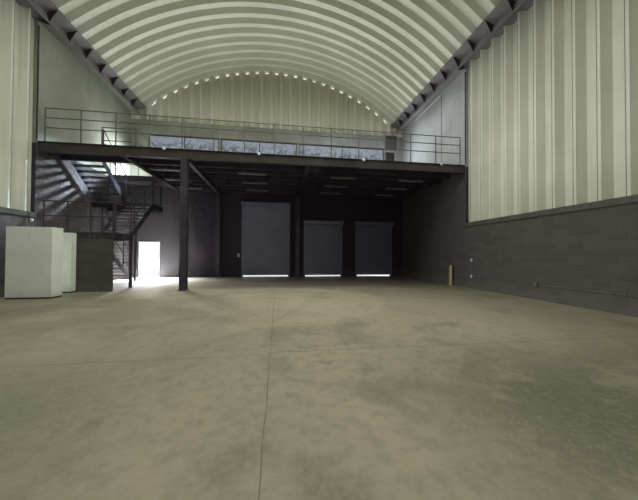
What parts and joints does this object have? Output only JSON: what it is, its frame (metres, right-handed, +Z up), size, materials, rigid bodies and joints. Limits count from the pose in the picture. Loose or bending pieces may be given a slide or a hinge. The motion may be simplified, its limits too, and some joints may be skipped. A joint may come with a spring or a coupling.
{
  "type": "factory building",
  "caption": "Factory hall with a self-supporting corrugated arch roof, block and sheet walls, a steel mezzanine and an open-tread stair.",
  "frame": {"origin": "middle of the floor slab's underside, below the middle of the roof", "axes": "+Z up, +Y along the hall to the mezzanine end, +X across the hall to the right seen from the entrance"},
  "size_m": [17.52, 25.62, 13.4295],
  "materials": {
    "concrete_floor": "worn power-floated concrete, stained",
    "block": "painted block, matt",
    "plain_wall": "smooth render, matt",
    "deck": "concrete on steel decking, matt",
    "roof_sheet": "coated steel sheet, satin",
    "wall_sheet": "coated steel sheet, satin",
    "dark_steel": "dark painted steel, satin",
    "rail": "dark painted tube, satin",
    "stair_steel": "dark painted steel, worn",
    "shutter": "coated slats, satin",
    "glass": "clear",
    "white_panel": "white coated sheet, satin",
    "fixture": "white enamel"
  },
  "bodies": {
    "root": {"floor_slab": "concrete_floor", "left_block_wall": "block", "right_block_wall": "block", "left_wall_band": "dark_steel", "right_wall_band": "dark_steel", "left_wall_panels": "wall_sheet", "right_wall_panels": "wall_sheet", "left_plain_wall": "plain_wall", "right_plain_wall": "plain_wall", "left_springing_beam": "dark_steel", "right_springing_beam": "dark_steel", "roof_sheets_1": "roof_sheet", "roof_sheets_2": "roof_sheet", "roof_sheets_3": "roof_sheet", "roof_sheets_4": "roof_sheet", "roof_sheets_5": "roof_sheet", "roof_sheets_6": "roof_sheet", "back_wall_piers": "block", "back_wall_lintels": "block", "back_wall_upper": "plain_wall", "back_window_piers": "plain_wall", "back_window_glass": "glass", "back_wall_head": "plain_wall", "back_gable_panels": "wall_sheet", "front_block_wall": "block", "front_wall_band": "dark_steel", "front_gable_panels": "wall_sheet", "entrance_frame": "dark_steel", "entrance_hood": "shutter", "entrance_guides": "dark_steel", "shutter_curtains": "shutter", "shutter_guides": "dark_steel", "shutter_hoods": "shutter", "mezzanine_deck": "deck", "mezzanine_front_beam": "dark_steel", "mezzanine_columns": "dark_steel", "mezzanine_girders": "dark_steel", "mezzanine_joists": "dark_steel", "mezzanine_rail": "rail", "stairwell_rail": "rail", "stair_stringers": "stair_steel", "stair_treads": "stair_steel", "stair_landings": "stair_steel", "stair_posts": "stair_steel", "stair_rails": "rail", "landing_block_wall": "block", "white_cabinet": "white_panel", "white_locker": "white_panel", "light_fixtures": "fixture"}
  },
  "joints": []
}
